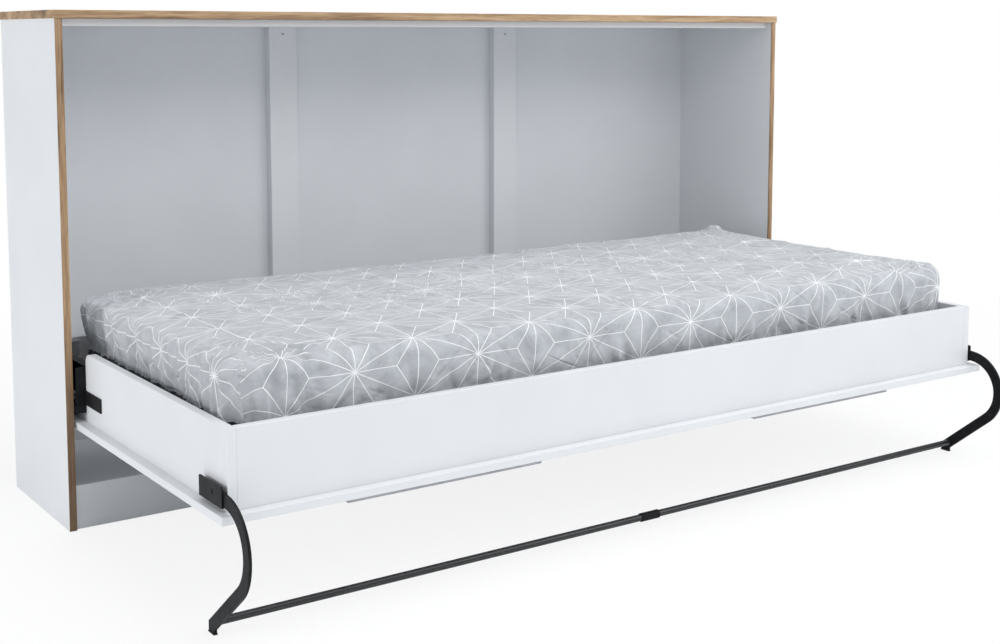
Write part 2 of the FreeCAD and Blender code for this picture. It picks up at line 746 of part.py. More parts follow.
def mattress_solid(shrink, low_rise):
    """The mattress's crowned form, drawn in by shrink all round."""
    height = size.mattress_height.number
    half_x = size.mattress_length.number / 2
    outlines = []
    for rise, inset, radius in mattress_rings():
        drawn_in = inset + shrink
        z = mattress_low.number + low_rise + rise * (height - low_rise - shrink) / height
        outlines.append(rounded_outline(half_x - drawn_in, mattress_front.number + drawn_in,
                                        mattress_rear.number - drawn_in, z, radius - shrink))
    return Part.makeLoft(outlines, True, True)


def make_mattress():
    gap = size.soft_clearance.number
    cloth = size.sheet_thickness.number
    core = doc.addObject("Part::Feature", "Mattress")
    core.Shape = mattress_solid(cloth + gap, cloth + gap * 2)
    core.Placement = FreeCAD.Placement()
    keep(core, "mattress")

    outside = mattress_solid(0, gap)
    inside = mattress_solid(cloth, cloth + gap)
    turn = size.sheet_turn_under.number
    half_x = size.mattress_length.number / 2 - turn
    depth = size.mattress_width.number - turn * 2
    corner = FreeCAD.Vector(-half_x, mattress_front.number + turn, mattress_low.number - cloth)
    mouth = Part.makeBox(half_x * 2, depth, cloth * 4, corner)
    cloth_skin = doc.addObject("Part::Feature", "FittedSheet")
    cloth_skin.Shape = outside.cut(inside).cut(mouth)
    cloth_skin.Placement = FreeCAD.Placement()
    keep(cloth_skin, "fitted_sheet")


# ---------------------------------------------------------------- hinge casings and springs


def make_casings():
    """Folded steel on an end board: strap, side, ledge, and the face that fills the gap beside it."""
    casing = new_body("hinge_casing_blank")
    face_y = front - size.casing_face_setback
    tail = front + size.casing_tail
    shoulder = size.spring_eye_radius * 3
    strap_high = size.strap_low + size.strap_width
    outline = [
        (front - size.strap_reach, size.strap_low),
        (face_y, size.strap_low),
        (face_y, size.casing_low),
        (tail, size.casing_low),
        (tail, spring_foot_z + shoulder),
        (spring_foot_y - shoulder, size.casing_high),
        (face_y, size.casing_high),
        (face_y, strap_high),
        (front - size.strap_reach, strap_high),
    ]
    add_prism(casing, "X", outline, -casing_face, -box_end)
    face = rectangle(face_y, face_y + size.casing_steel, size.casing_low,
                     size.casing_high - size.casing_face_drop)
    add_prism(casing, "X", face, -box_end - size.casing_width, -box_end)
    ledge = rectangle(-casing_face, -box_end_inside, size.casing_high - size.casing_steel, size.casing_high)
    add_prism(casing, "Y", ledge, face_y, spring_foot_y - shoulder)
    hole = size.bush_radius + size.running_clearance
    cut_holes(casing, "X", [(pivot_y, pivot_z)], hole, -casing_face, size.casing_steel)
    places = casing_screw_places()
    tool = make_screw_tool("CasingScrewHoles", -casing_face, places, 1)
    both_sides(cut("HingeCasingLeft", casing, tool), "hinge_casing")
    make_screws("hinge_casing_screws", -casing_face, places, 1)


def make_spring_studs():
    """Upper studs carry the eyes; lower ones end just short of theirs, where the linkage is open."""
    half_eye = size.spring_eye_thickness / 2
    eye_outer = spring_x + half_eye
    eye_inner = spring_x - half_eye
    clip = as_size(1.2)
    collar = size.spring_eye_bore + 2
    journal = size.spring_eye_bore - size.running_clearance
    upper = turned_piece("UpperStud", [
        (-plate_face, -eye_outer - size.seat_clearance, collar),
        (-eye_outer - size.seat_clearance, -eye_inner + size.seat_clearance, journal),
        (-eye_inner + size.seat_clearance, -eye_inner + size.seat_clearance + clip, collar),
    ], spring_top_y, spring_top_z)
    lower = rod_along_x("LowerStud", (-eye_inner + size.seat_clearance, -casing_face), spring_foot_y,
                        spring_foot_z, journal)
    for stud, label in ((upper, "spring_studs_upper"), (lower, "spring_studs_lower")):
        twin = doc.addObject("Part::Mirroring", f"{stud.Name}Right")
        twin.Source = stud
        twin.Normal = FreeCAD.Vector(1, 0, 0)
        gather(label, [stud, twin])


def place_on_spring(piece):
    """Sets a piece drawn along +Y from the upper eye onto the line to the lower eye."""
    rise = spring_foot_z.number - spring_top_z.number
    run = spring_foot_y.number - spring_top_y.number
    turn = FreeCAD.Rotation(FreeCAD.Vector(1, 0, 0), math.degrees(math.atan2(rise, run)))
    base = FreeCAD.Vector(-spring_x.number, spring_top_y.number, spring_top_z.number)
    piece.Placement = FreeCAD.Placement(base, turn)
    piece.setExpression("Placement.Base.x", (-spring_x).formula)
    piece.setExpression("Placement.Base.y", spring_top_y.formula)
    piece.setExpression("Placement.Base.z", spring_top_z.formula)


def revolve_about_y(body, corners):
    sketch = new_sketch(body, "Z", nothing, "HalfSection")
    draw_polygon(sketch, corners)
    turned = body.newObject("PartDesign::Revolution", "Turned")
    turned.Profile = sketch
    turned.ReferenceAxis = (sketch, ["V_Axis"])
    turned.Angle = 360
    doc.recompute()
    return turned


def add_eye(body, at, neck):
    """A flat eye in the plane of the linkage, with its neck reaching to the given place."""
    half = size.spring_eye_thickness / 2
    width = size.spring_eye_radius * 0.75
    sketch = new_sketch(body, "X", -half, "Eye")
    draw_circle(sketch, at, nothing, size.spring_eye_radius)
    pad_sketch(body, "X", sketch, size.spring_eye_thickness)
    low, high = sorted_pair(at, neck)
    add_prism(body, "X", rectangle(low, high, -width, width), -half, half)
    cut_holes(body, "X", [(at, nothing)], size.spring_eye_bore, -half, size.spring_eye_thickness)


def make_gas_springs():
    """A pressure tube hung from the upper stud and the rod that slides in it."""
    length = Size(
        math.hypot(spring_top_y.number - spring_foot_y.number, spring_top_z.number - spring_foot_z.number),
        f"hypot({(spring_top_y - spring_foot_y).formula}; {(spring_top_z - spring_foot_z).formula})",
    )
    tube_start = size.spring_eye_neck
    tube_end = tube_start + size.spring_tube_length
    bore = size.spring_radius - size.spring_wall
    rod_hole = size.spring_rod_radius + size.running_clearance
    chamber_start = tube_start + size.spring_wall * 4
    chamber_end = tube_end - size.spring_piston

    tube = new_body("gas_tube_left")
    revolve_about_y(tube, [
        (nothing, tube_start),
        (size.spring_radius, tube_start),
        (size.spring_radius, tube_end),
        (rod_hole, tube_end),
        (rod_hole, chamber_end),
        (bore, chamber_end),
        (bore, chamber_start),
        (nothing, chamber_start),
    ])
    add_eye(tube, nothing, tube_start)
    place_on_spring(tube)
    both_sides(tube, "gas_tube")

    rod_start = tube_end - size.spring_rod_inside
    piston = bore - size.running_clearance
    rod_end = length - size.spring_eye_neck
    rod = new_body("gas_rod_left")
    revolve_about_y(rod, [
        (nothing, rod_start),
        (piston, rod_start),
        (piston, rod_start + size.spring_piston),
        (size.spring_rod_radius, rod_start + size.spring_piston),
        (size.spring_rod_radius, rod_end + size.spring_rod_radius),
        (nothing, rod_end + size.spring_rod_radius),
    ])
    add_eye(rod, length, rod_end)
    place_on_spring(rod)
    both_sides(rod, "gas_rod")


# ---------------------------------------------------------------- handles


def handle_screw_places():
    """One screw at each foot of each handle."""
    line = panel_edge + size.handle_from_edge
    foot = size.handle_length / 2 - size.handle_bar / 2
    places = []
    for middle in (-size.handle_spacing / 2, size.handle_spacing / 2):
        places += [(middle - foot, line), (middle + foot, line)]
    return places


def make_handles():
    """Bow handles: a flat bar with slanted ends, under the open bed and in front of the closed one."""
    line = panel_edge + size.handle_from_edge
    half = size.handle_length / 2
    face = size.front_panel_height
    low = face - size.handle_projection
    foot = size.handle_bar * 1.5
    slant = size.handle_slant
    for name, middle in (("left", -size.handle_spacing / 2), ("right", size.handle_spacing / 2)):
        body = new_body(f"handle_{name}")
        outline = [
            (middle - half, face),
            (middle - half + slant, low),
            (middle + half - slant, low),
            (middle + half, face),
            (middle + half - foot, face),
            (middle + half - slant - size.handle_bar, low + size.handle_bar),
            (middle - half + slant + size.handle_bar, low + size.handle_bar),
            (middle - half + foot, face),
        ]
        y = (line - size.handle_width / 2, line + size.handle_width / 2)
        pad = add_prism(body, "Y", outline, y[0], y[1])
        add_rounds(body, pad, "Fillet", size.board_ease, along("X"))
        keep(body, f"handle_{name}")
    screws = []
    for x, y in handle_screw_places():
        head = doc.addObject("Part::Cylinder", "HandleScrewHead")
        shank = doc.addObject("Part::Cylinder", "HandleScrewShank")
        head.setExpression("Radius", (size.handle_screw_radius * 2).formula)
        head.setExpression("Height", size.handle_screw_radius.formula)
        shank.setExpression("Radius", size.handle_screw_radius.formula)
        shank.setExpression("Height", size.front_panel_thickness.formula)
        for part, z in ((head, panel_top), (shank, size.front_panel_height)):
            part.setExpression("Placement.Base.x", x.formula)
            part.setExpression("Placement.Base.y", y.formula)
            part.setExpression("Placement.Base.z", z.formula)
        screws.append(fuse("HandleScrew", [head, shank]))
    gather("handle_screws", screws)


# ---------------------------------------------------------------- leg frame


def tangent_point(point, centre, radius, side):
    """Where the line from a point touches a circle, on the given side of it."""
    across = point[0] - centre[0]
    up = point[1] - centre[1]
    bearing = math.atan2(up, across) + side * math.acos(radius / math.hypot(across, up))
    return (centre[0] + radius * math.cos(bearing), centre[1] + radius * math.sin(bearing))


def draw_arm(sketch):
    """The arm's outline: round head, bow round the front panel's edge, straight slope, upright foot."""
    half = size.leg_bar_width.number / 2
    radius = size.leg_bow_radius.number
    head = (leg_y.number, leg_z.number)
    bow = (front.number - size.leg_bow_forward.number, size.leg_bow_height.number)
    foot_front = front.number - size.leg_foot_forward.number
    foot_back = foot_front + size.leg_bar_width.number
    low = size.foot_pad_height.number
    front_bend = (foot_front, low + size.leg_foot_rise.number)

    top_touch = tangent_point(head, bow, radius, 1)
    run = (top_touch[0] - head[0], top_touch[1] - head[1])
    stretch = math.hypot(*run)
    normal = (run[1] / stretch * half, -run[0] / stretch * half)
    outer_start = (head[0] + normal[0], head[1] + normal[1])
    inner_start = (head[0] - normal[0], head[1] - normal[1])
    outer_top = (top_touch[0] + normal[0], top_touch[1] + normal[1])
    inner_top = (top_touch[0] - normal[0], top_touch[1] - normal[1])
    outer_low = tangent_point(front_bend, bow, radius + half, -1)
    share = (radius - half) / (radius + half)
    inner_low = (bow[0] + (outer_low[0] - bow[0]) * share, bow[1] + (outer_low[1] - bow[1]) * share)
    slope = (front_bend[1] - outer_low[1]) / (front_bend[0] - outer_low[0])
    back_bend = (foot_back, inner_low[1] + slope * (foot_back - inner_low[0]))
    head_tip = (head[0] - run[0] / stretch * half, head[1] - run[1] / stretch * half)

    def arc(start, middle, end):
        points = [FreeCAD.Vector(place[0], place[1], 0) for place in (start, middle, end)]
        sketch.addGeometry(Part.Arc(*points))

    def line(start, end):
        sketch.addGeometry(Part.LineSegment(FreeCAD.Vector(*start, 0), FreeCAD.Vector(*end, 0)))

    arc(inner_start, head_tip, outer_start)
    line(outer_start, outer_top)
    arc(outer_top, (bow[0] - radius - half, bow[1]), outer_low)
    line(outer_low, front_bend)
    line(front_bend, (foot_front, low))
    line((foot_front, low), (foot_back, low))
    line((foot_back, low), back_bend)
    line(back_bend, inner_low)
    arc(inner_low, (bow[0] - radius + half, bow[1]), inner_top)
    line(inner_top, inner_start)


def make_leg_arms():
    arm = new_body("leg_arm_left")
    sketch = new_sketch(arm, "X", -arm_outer_x, "ArmOutline")
    draw_arm(sketch)
    pad = pad_sketch(arm, "X", sketch, size.leg_bar_thickness)
    if len(pad.Shape.Solids) != 1:
        raise RuntimeError("the arm's outline isn't closed")
    hole = size.leg_bolt_radius + size.running_clearance
    cut_holes(arm, "X", [(leg_y, leg_z)], hole, -arm_outer_x, size.leg_bar_thickness)
    both_sides(arm, "leg_arm")


def make_leg_tubes():
    tube_y = front - size.leg_tube_forward
    tube_z = size.leg_tube_height
    joint = size.leg_tube_joint / 2
    tube = new_body("leg_tube_left")
    sketch = new_sketch(tube, "X", -arm_inner_x, "TubeSection")
    draw_circle(sketch, tube_y, tube_z, size.leg_tube_radius)
    draw_circle(sketch, tube_y, tube_z, size.leg_tube_radius - size.leg_tube_wall)
    pad_sketch(tube, "X", sketch, arm_inner_x - joint)
    both_sides(tube, "leg_tube")

    sleeve = new_body("leg_tube_sleeve")
    inner = size.leg_tube_radius + size.running_clearance
    sketch = new_sketch(sleeve, "X", -size.sleeve_length / 2, "SleeveSection")
    draw_circle(sketch, tube_y, tube_z, inner + size.sleeve_wall)
    draw_circle(sketch, tube_y, tube_z, inner)
    pad = pad_sketch(sleeve, "X", sketch, size.sleeve_length)
    outer = (inner + size.sleeve_wall).number

    def outer_rim(edge):
        return isinstance(edge.Curve, Part.Circle) and abs(edge.Curve.Radius - outer) < 0.01

    add_rounds(sleeve, pad, "Chamfer", size.sleeve_wall / 2, outer_rim)
    keep(sleeve, "leg_tube_sleeve")


def make_foot_pads():
    margin = size.foot_pad_margin
    foot_front = front - size.leg_foot_forward
    pad_y = (foot_front - margin, foot_front + size.leg_bar_width + margin)
    pads = []
    for name, x in (("Left", (-arm_outer_x - margin, -arm_inner_x + margin)),
                    ("Right", (arm_inner_x - margin, arm_outer_x + margin))):
        pads.append(box(f"FootPad{name}", x, pad_y, (nothing, size.foot_pad_height)))
    gather("leg_foot_pads", pads)


def make_leg_brackets():
    """U-shaped bracket on an end board; the arm turns between its base and its cheek."""
    bracket = new_body("leg_bracket_left")
    low = size.bracket_low
    high = size.bracket_high
    web = low + size.bracket_web
    start = front - size.bracket_front
    end = start + size.bracket_length
    section = [
        (-box_end, low),
        (-box_end, web),
        (-cheek_inner_x, web),
        (-cheek_inner_x, high),
        (-cheek_outer_x, high),
        (-cheek_outer_x, low),
    ]
    pad = add_prism(bracket, "Y", section, start, end)

    def outer_corner(edge):
        middle = edge.CenterOfMass
        return along("X")(edge) and abs(middle.x) > cheek_inner_x.number and middle.z > high.number - 0.01

    add_rounds(bracket, pad, "Fillet", size.bracket_steel * 1.5, outer_corner)
    base = rectangle(-bracket_base_x, -box_end, low, size.bracket_base_high)
    add_prism(bracket, "Y", base, start + size.bracket_base_setback, end)
    hole = size.leg_bolt_radius + size.running_clearance
    cut_holes(bracket, "X", [(leg_y, leg_z)], hole, -cheek_outer_x, cheek_outer_x - box_end)
    both_sides(bracket, "leg_bracket")

    bolt = turned_piece("LegBolt", [
        (-cheek_outer_x - size.leg_bolt_head, -cheek_outer_x, size.leg_bolt_head_radius),
        (-cheek_outer_x, -box_end + size.leg_bolt_depth, size.leg_bolt_radius),
    ], leg_y, leg_z)
    twin = doc.addObject("Part::Mirroring", "LegBoltRight")
    twin.Source = bolt
    twin.Normal = FreeCAD.Vector(1, 0, 0)
    gather("leg_pivot_bolts", [bolt, twin])


# ---------------------------------------------------------------- build and write

make_cabinet()
make_back()
make_mounting_plates()
make_pivots()
make_bed_box()
make_slats()
make_corner_brackets()
make_mattress()
make_casings()
make_spring_studs()
make_gas_springs()
make_handles()
make_leg_arms()
make_leg_tubes()
make_foot_pads()
make_leg_brackets()
doc.recompute()

for item in doc.Objects:
    if "Invalid" in item.State or "Error" in item.State:
        raise RuntimeError(f"{item.Label} failed: {item.State}")
for item in SUBPARTS:
    if item.Shape.isNull() or not item.Shape.isValid() or not item.Shape.Solids:
        raise RuntimeError(f"{item.Label} has no sound shape")

os.makedirs("parts", exist_ok=True)
for item in SUBPARTS:
    item.Shape.exportStep(f"parts/{item.Label}.step")
print(f"{len(SUBPARTS)} sub-parts written")
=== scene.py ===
import json
import math
import bmesh
import bpy
import numpy as np
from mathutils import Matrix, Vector


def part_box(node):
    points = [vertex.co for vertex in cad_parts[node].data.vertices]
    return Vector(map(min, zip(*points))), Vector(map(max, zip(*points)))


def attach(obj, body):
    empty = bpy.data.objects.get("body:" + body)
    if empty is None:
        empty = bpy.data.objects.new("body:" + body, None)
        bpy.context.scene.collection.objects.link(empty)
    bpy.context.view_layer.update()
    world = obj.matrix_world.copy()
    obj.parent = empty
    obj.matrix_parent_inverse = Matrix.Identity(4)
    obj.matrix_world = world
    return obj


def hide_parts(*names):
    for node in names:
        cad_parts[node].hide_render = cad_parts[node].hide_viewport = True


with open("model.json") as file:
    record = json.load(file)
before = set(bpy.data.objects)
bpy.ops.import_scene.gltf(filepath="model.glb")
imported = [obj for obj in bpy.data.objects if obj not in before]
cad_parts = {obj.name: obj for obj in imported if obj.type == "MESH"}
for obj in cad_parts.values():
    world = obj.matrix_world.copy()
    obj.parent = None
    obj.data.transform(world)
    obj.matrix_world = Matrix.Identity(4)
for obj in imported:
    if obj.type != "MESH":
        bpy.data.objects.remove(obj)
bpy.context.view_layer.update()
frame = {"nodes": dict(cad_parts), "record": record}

# Looks of the cabinet bed, in metres, in the same frame as the solids.

PATTERN_STEP_U = 0.141      # columns of the hemp-leaf lattice
PATTERN_STEP_V = 0.136      # stars within a column
LINE_HALF_WIDTH = 0.0007
MATTRESS_VOXEL = 0.012
SIMULATION_FRAMES = 20
SWELL_LIMIT = 0.006
SHEET_OFFSET = 0.0016
CORE_DEPTH = 0.020          # mattress surface under the cloth, clear of its deepest fold
DEEPEST_FOLD = CORE_DEPTH - 0.003       # folds end at least 3 mm before the core
GAP_SHADE_DROP = 0.0135           # painted shade: the dark band for the gap under the rim starts this far below the rim, on average
GAP_SHADE_RAGGED = 0.014          # and wanders within this much
GAP_SHADE_BLUR = 0.0012
TURN_UNDER = 0.09

LOW, HIGH = (np.array(corner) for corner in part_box("fitted_sheet"))
CENTRE = (LOW + HIGH) / 2
HALF = (HIGH - LOW) / 2
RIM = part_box("front_rail")[1][2]

rng = np.random.default_rng(11)

# ---------------------------------------------------------------- node helpers


def new_material(name):
    material = bpy.data.materials.new(name)
    material.use_nodes = True
    tree = material.node_tree
    shader = next(node for node in tree.nodes if node.type == "BSDF_PRINCIPLED")
    return material, tree, shader


def maths(tree, operation, *inputs):
    node = tree.nodes.new("ShaderNodeMath")
    node.operation = operation
    for socket, value in zip(node.inputs, inputs):
        if isinstance(value, bpy.types.NodeSocket):
            tree.links.new(value, socket)
        else:
            socket.default_value = value
    return node.outputs[0]


def object_coordinates(tree, scale, turn=0.0):
    """Object coordinates times a scale, after a turn about Y."""
    place = tree.nodes.new("ShaderNodeTexCoord").outputs["Object"]
    mapping = tree.nodes.new("ShaderNodeMapping")
    mapping.vector_type = "TEXTURE"
    mapping.inputs["Rotation"].default_value = (0, turn, 0)
    mapping.inputs["Scale"].default_value = [1 / factor for factor in scale]
    tree.links.new(place, mapping.inputs["Vector"])
    return mapping.outputs["Vector"]


def noise(tree, vector, scale, detail=3.0, roughness=0.55, distortion=0.0):
    node = tree.nodes.new("ShaderNodeTexNoise")
    node.inputs["Scale"].default_value = scale
    node.inputs["Detail"].default_value = detail
    node.inputs["Roughness"].default_value = roughness
    node.inputs["Distortion"].default_value = distortion
    tree.links.new(vector, node.inputs["Vector"])
    return node.outputs["Fac"]


def ramp(tree, factor, stops):
    node = tree.nodes.new("ShaderNodeValToRGB")
    elements = node.color_ramp.elements
    while len(elements) < len(stops):
        elements.new(0.5)
    for element, (position, colour) in zip(elements, stops):
        element.position = position
        element.color = (*colour, 1)
    tree.links.new(factor, node.inputs["Fac"])
    return node.outputs["Color"]


def mix_colours(tree, factor, first, second, blend="MIX"):
    """Blend one plain colour over a colour output, by a factor output."""
    node = tree.nodes.new("ShaderNodeMix")
    node.data_type = "RGBA"
    node.blend_type = blend
    node.inputs["B"].default_value = (*second, 1)
    tree.links.new(first, node.inputs["A"])
    tree.links.new(factor, node.inputs["Factor"])
    return node.outputs["Result"]


def height_of(tree, place):
    split = tree.nodes.new("ShaderNodeSeparateXYZ")
    tree.links.new(place, split.inputs[0])
    return split.outputs[2]


def remap(tree, value, low, high, new_low, new_high):
    node = tree.nodes.new("ShaderNodeMapRange")
    node.clamp = True
    tree.links.new(value, node.inputs["Value"])
    for name, number in (("From Min", low), ("From Max", high), ("To Min", new_low), ("To Max", new_high)):
        node.inputs[name].default_value = number
    return node.outputs["Result"]


def bump(tree, shader, height, strength, distance, under=None):
    node = tree.nodes.new("ShaderNodeBump")
    node.inputs["Strength"].default_value = strength
    node.inputs["Distance"].default_value = distance
    tree.links.new(height, node.inputs["Height"])
    if under is not None:
        tree.links.new(under, node.inputs["Normal"])
    tree.links.new(node.outputs["Normal"], shader.inputs["Normal"])
    return node.outputs["Normal"]


# ---------------------------------------------------------------- materials


def board_material(name, colour, roughness):
    """Melamine-faced board: faint mottling and a fine orange-peel surface."""
    material, tree, shader = new_material(name)
    place = object_coordinates(tree, (1, 1, 1))
    mottle = noise(tree, place, 5.0, 4.0)
    darker = tuple(channel * 0.975 for channel in colour)
    lighter = tuple(min(channel * 1.015, 1.0) for channel in colour)
    tree.links.new(ramp(tree, mottle, [(0.3, darker), (0.7, lighter)]), shader.inputs["Base Color"])
    fine = noise(tree, place, 260.0, 2.0)
    uneven = remap(tree, mottle, 0.3, 0.7, roughness - 0.04, roughness + 0.04)
    tree.links.new(uneven, shader.inputs["Roughness"])
    bump(tree, shader, fine, 0.06, 0.0006)
    return material


def oak_material(name, grain_axis, dark_foot=None):
    """Golden oak with straight grain along one axis, darker pores and, on the bands, a dark foot."""
    material, tree, shader = new_material(name)
    stretch = [1.0, 1.0, 1.0]
    stretch[grain_axis] = 0.045
    place = object_coordinates(tree, stretch)
    figure = noise(tree, place, 16.0, 5.0, 0.6, 0.6)
    fibre = noise(tree, place, 190.0, 4.0, 0.7)
    pores = noise(tree, place, 480.0, 2.0, 0.5)
    grain = maths(tree, "ADD", maths(tree, "MULTIPLY", figure, 0.55), maths(tree, "MULTIPLY", fibre, 0.45))
    colour = ramp(tree, grain, [
        (0.38, (0.130, 0.072, 0.034)), (0.46, (0.320, 0.196, 0.104)),
        (0.53, (0.450, 0.296, 0.164)), (0.62, (0.600, 0.430, 0.268)),
    ])
    in_pore = remap(tree, pores, 0.60, 0.72, 0.0, 0.55)
    wood = mix_colours(tree, in_pore, colour, (0.20, 0.105, 0.045))
    if dark_foot is not None:
        height = height_of(tree, object_coordinates(tree, (1, 1, 1)))
        level = maths(tree, "ADD", height, maths(tree, "MULTIPLY", figure, 0.12))
        low_down = remap(tree, level, dark_foot[0], dark_foot[1], 1.0, 0.0)
        wood = mix_colours(tree, low_down, wood, (0.46, 0.42, 0.40), "MULTIPLY")
    tree.links.new(wood, shader.inputs["Base Color"])
    tree.links.new(remap(tree, fibre, 0.3, 0.7, 0.42, 0.58), shader.inputs["Roughness"])
    bump(tree, shader, maths(tree, "SUBTRACT", fibre, pores), 0.18, 0.0006)
    return material


def beech_material():
    material, tree, shader = new_material("beech")
    place = object_coordinates(tree, (1.0, 0.05, 1.0))
    grain = noise(tree, place, 90.0, 4.0, 0.6)
    tree.links.new(ramp(tree, grain, [(0.3, (0.46, 0.30, 0.16)), (0.7, (0.66, 0.47, 0.28))]),
                   shader.inputs["Base Color"])
    shader.inputs["Roughness"].default_value = 0.55
    bump(tree, shader, grain, 0.12, 0.0005)
    return material


def steel_material(name, colours, roughness, metallic, grit, gloss=0.5):
    """Coated or bright steel: fine grit, uneven gloss and rubbed lighter patches."""
    material, tree, shader = new_material(name)
    place = object_coordinates(tree, (1, 1, 1))
    wear = noise(tree, place, 22.0, 6.0, 0.7)
    fine = noise(tree, place, grit, 3.0)
    tree.links.new(ramp(tree, wear, [(0.38, colours[0]), (0.68, colours[1])]), shader.inputs["Base Color"])
    rubbed = remap(tree, wear, 0.3, 0.7, roughness + 0.05, roughness - 0.06)
    tree.links.new(rubbed, shader.inputs["Roughness"])
    shader.inputs["Metallic"].default_value = metallic
    shader.inputs["Specular IOR Level"].default_value = gloss
    bump(tree, shader, fine, 0.14, 0.0004)
    return material


def plastic_material(name, colour, roughness):
    material, tree, shader = new_material(name)
    place = object_coordinates(tree, (1, 1, 1))
    mould = noise(tree, place, 420.0, 2.0)
    darker = tuple(channel * 0.9 for channel in colour)
    tree.links.new(ramp(tree, mould, [(0.3, darker), (0.7, colour)]), shader.inputs["Base Color"])
    shader.inputs["Roughness"].default_value = roughness
    bump(tree, shader, mould, 0.12, 0.0003)
    return material


def weave(tree, place, threads_per_metre):
    """Plain weave: warp and weft threads, as heights between 0 and 1."""
    split = tree.nodes.new("ShaderNodeSeparateXYZ")
    tree.links.new(place, split.inputs[0])
    turns = threads_per_metre * math.pi
    warp = maths(tree, "ABSOLUTE", maths(tree, "SINE", maths(tree, "MULTIPLY", split.outputs[0], turns)))
    weft = maths(tree, "ABSOLUTE", maths(tree, "SINE", maths(tree, "MULTIPLY", split.outputs[1], turns)))
    return maths(tree, "MAXIMUM", warp, weft)


def hemp_leaf_lines(tree, place):
    """Distance to the lines of the traditional hemp-leaf lattice, turned into a mask of 0 to 1."""
    split = tree.nodes.new("ShaderNodeSeparateXYZ")
    tree.links.new(place, split.inputs[0])
    column = maths(tree, "DIVIDE", split.outputs[0], PATTERN_STEP_U)
    row = maths(tree, "SUBTRACT", maths(tree, "DIVIDE", split.outputs[1], PATTERN_STEP_V),
                maths(tree, "MULTIPLY", column, 0.5))
    part_s = maths(tree, "FRACT", column)
    part_t = maths(tree, "FRACT", row)
    total = maths(tree, "ADD", part_s, part_t)
    upper = maths(tree, "GREATER_THAN", total, 1.0)

    def share(part):
        flipped = maths(tree, "SUBTRACT", 1.0, maths(tree, "MULTIPLY", part, 2.0))
        return maths(tree, "ADD", part, maths(tree, "MULTIPLY", upper, flipped))

    first = maths(tree, "ABSOLUTE", maths(tree, "SUBTRACT", 1.0, total))
    second = share(part_s)
    third = share(part_t)
    low = maths(tree, "MINIMUM", first, maths(tree, "MINIMUM", second, third))
    high = maths(tree, "MAXIMUM", first, maths(tree, "MAXIMUM", second, third))
    middle = maths(tree, "SUBTRACT", maths(tree, "SUBTRACT", 1.0, low), high)
    triangle_height = PATTERN_STEP_V * 0.88
    edge = maths(tree, "MULTIPLY", low, triangle_height)
    spoke = maths(tree, "MULTIPLY", maths(tree, "SUBTRACT", middle, low), triangle_height / math.sqrt(3))
    nearest = maths(tree, "MINIMUM", edge, spoke)
    return remap(tree, nearest, LINE_HALF_WIDTH * 0.7, LINE_HALF_WIDTH * 1.5, 1.0, 0.0)


def sheet_material():
    material, tree, shader = new_material("cotton_sheet")
    cut = tree.nodes.new("ShaderNodeUVMap")
    cut.uv_map = "cut"
    place = object_coordinates(tree, (1, 1, 1))
    marble = noise(tree, place, 12.0, 7.0, 0.68, 1.6)
    cloth = ramp(tree, marble, [
        (0.32, (0.378, 0.393, 0.418)), (0.48, (0.474, 0.491, 0.517)), (0.66, (0.566, 0.584, 0.611)),
    ])
    lines = hemp_leaf_lines(tree, cut.outputs["UV"])
    printed = mix_colours(tree, lines, cloth, (0.92, 0.93, 0.94))
    height = height_of(tree, place)
    # Painted shade: a near-black band on the cloth just below the rim stands in for the shadow in the gap
    # between sheet and boards.
    ragged = maths(tree, "MULTIPLY", noise(tree, place, 110.0, 3.0), GAP_SHADE_RAGGED)
    gap_shade_top = RIM - GAP_SHADE_DROP + GAP_SHADE_RAGGED / 2
    in_gap_shade = remap(tree, maths(tree, "ADD", height, ragged), gap_shade_top - GAP_SHADE_BLUR, gap_shade_top, 1.0, 0.0)
    tree.links.new(mix_colours(tree, in_gap_shade, printed, (0.026, 0.026, 0.029)), shader.inputs["Base Color"])
    shader.inputs["Roughness"].default_value = 0.88
    shader.inputs["Sheen Weight"].default_value = 0.25
    shader.inputs["Sheen Roughness"].default_value = 0.5
    shader.inputs["Specular IOR Level"].default_value = 0.2
    drawn = object_coordinates(tree, (0.35, 1.0, 0.6))
    crumple = noise(tree, drawn, 30.0, 6.0, 0.62, 1.4)
    soft = bump(tree, shader, crumple, 0.55, 0.008)
    creases = []
    for turn, scale in ((0.55, 13.0), (-0.75, 11.0)):
        drawn_out = object_coordinates(tree, (0.16, 0.5, 1.0), turn)
        contour = noise(tree, drawn_out, scale, 1.0, 0.4, 0.25)
        from_middle = maths(tree, "ABSOLUTE", maths(tree, "SUBTRACT", contour, 0.5))
        groove = remap(tree, from_middle, 0.0, 0.035, 1.0, 0.0)
        broken = remap(tree, noise(tree, place, scale * 0.8, 2.0), 0.53, 0.63, 0.0, 1.0)
        creases.append(maths(tree, "MULTIPLY", groove, broken))
    on_side = remap(tree, height, float(HIGH[2]) - 0.040, float(HIGH[2]) - 0.008, 1.0, 0.15)
    crease = maths(tree, "MULTIPLY", maths(tree, "ADD", *creases), on_side)
    soft = bump(tree, shader, maths(tree, "SUBTRACT", 1.0, crease), 0.7, 0.004, soft)
    bump(tree, shader, weave(tree, cut.outputs["UV"], 900.0), 0.10, 0.0003, soft)
    return material


def ticking_material():
    material, tree, shader = new_material("ticking")
    place = object_coordinates(tree, (1, 1, 1))
    tone = noise(tree, place, 12.0, 4.0)
    tree.links.new(ramp(tree, tone, [(0.3, (0.66, 0.66, 0.64)), (0.7, (0.78, 0.78, 0.76))]),
                   shader.inputs["Base Color"])
    shader.inputs["Roughness"].default_value = 0.9
    shader.inputs["Sheen Weight"].default_value = 0.2
    bump(tree, shader, weave(tree, place, 500.0), 0.2, 0.0005)
    return material


